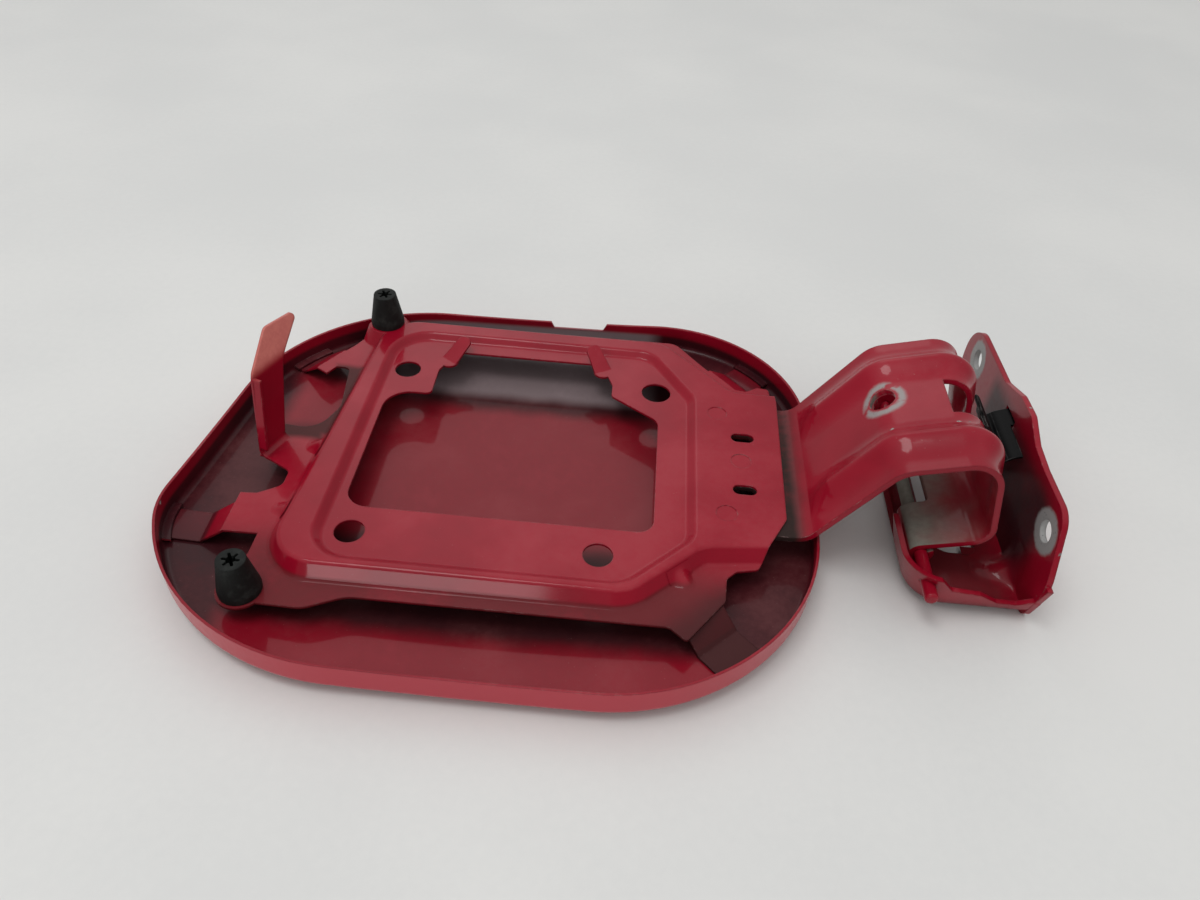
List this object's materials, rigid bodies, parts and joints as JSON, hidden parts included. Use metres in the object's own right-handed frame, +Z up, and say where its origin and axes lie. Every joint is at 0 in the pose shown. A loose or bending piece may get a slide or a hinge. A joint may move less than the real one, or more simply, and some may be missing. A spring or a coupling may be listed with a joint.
{
  "type": "car fuel door",
  "caption": "Hinged car fuel door with a crowned outer skin, pressed inner panel, gooseneck hinge arm, sprung bracket and rubber bumpers.",
  "frame": {"origin": "halfway between the two bolt holes, on the mounting face of the hinge bracket", "axes": "+X from the latch end of the door to its hinge and out of the mounting face, +Y across the door along the hinge pin, +Z up out of the door's inner side"},
  "size_m": [0.2647, 0.1666, 0.0533],
  "materials": {
    "red_paint": "glossy deep red body paint over pressed steel, worn to grey at the bolt holes",
    "bumper_rubber": "matt dark grey rubber",
    "spring_steel": "black coated spring steel"
  },
  "bodies": {
    "hinge_base": {"hinge_bracket": "red_paint", "hinge_pin": "red_paint", "hinge_spring": "spring_steel"},
    "lid": {"outer_panel": "red_paint", "inner_panel": "red_paint", "near_bumper": "bumper_rubber", "far_bumper": "bumper_rubber", "hinge_arm": "red_paint"}
  },
  "joints": [
    {"name": "lid_hinge", "type": "hinge", "parent": "hinge_base", "child": "lid", "pos_m": [-0.034, -0.0123, -0.014], "axis": [0, -1, 0], "range_deg": [0, 90], "deforming": ["hinge_spring"]}
  ]
}
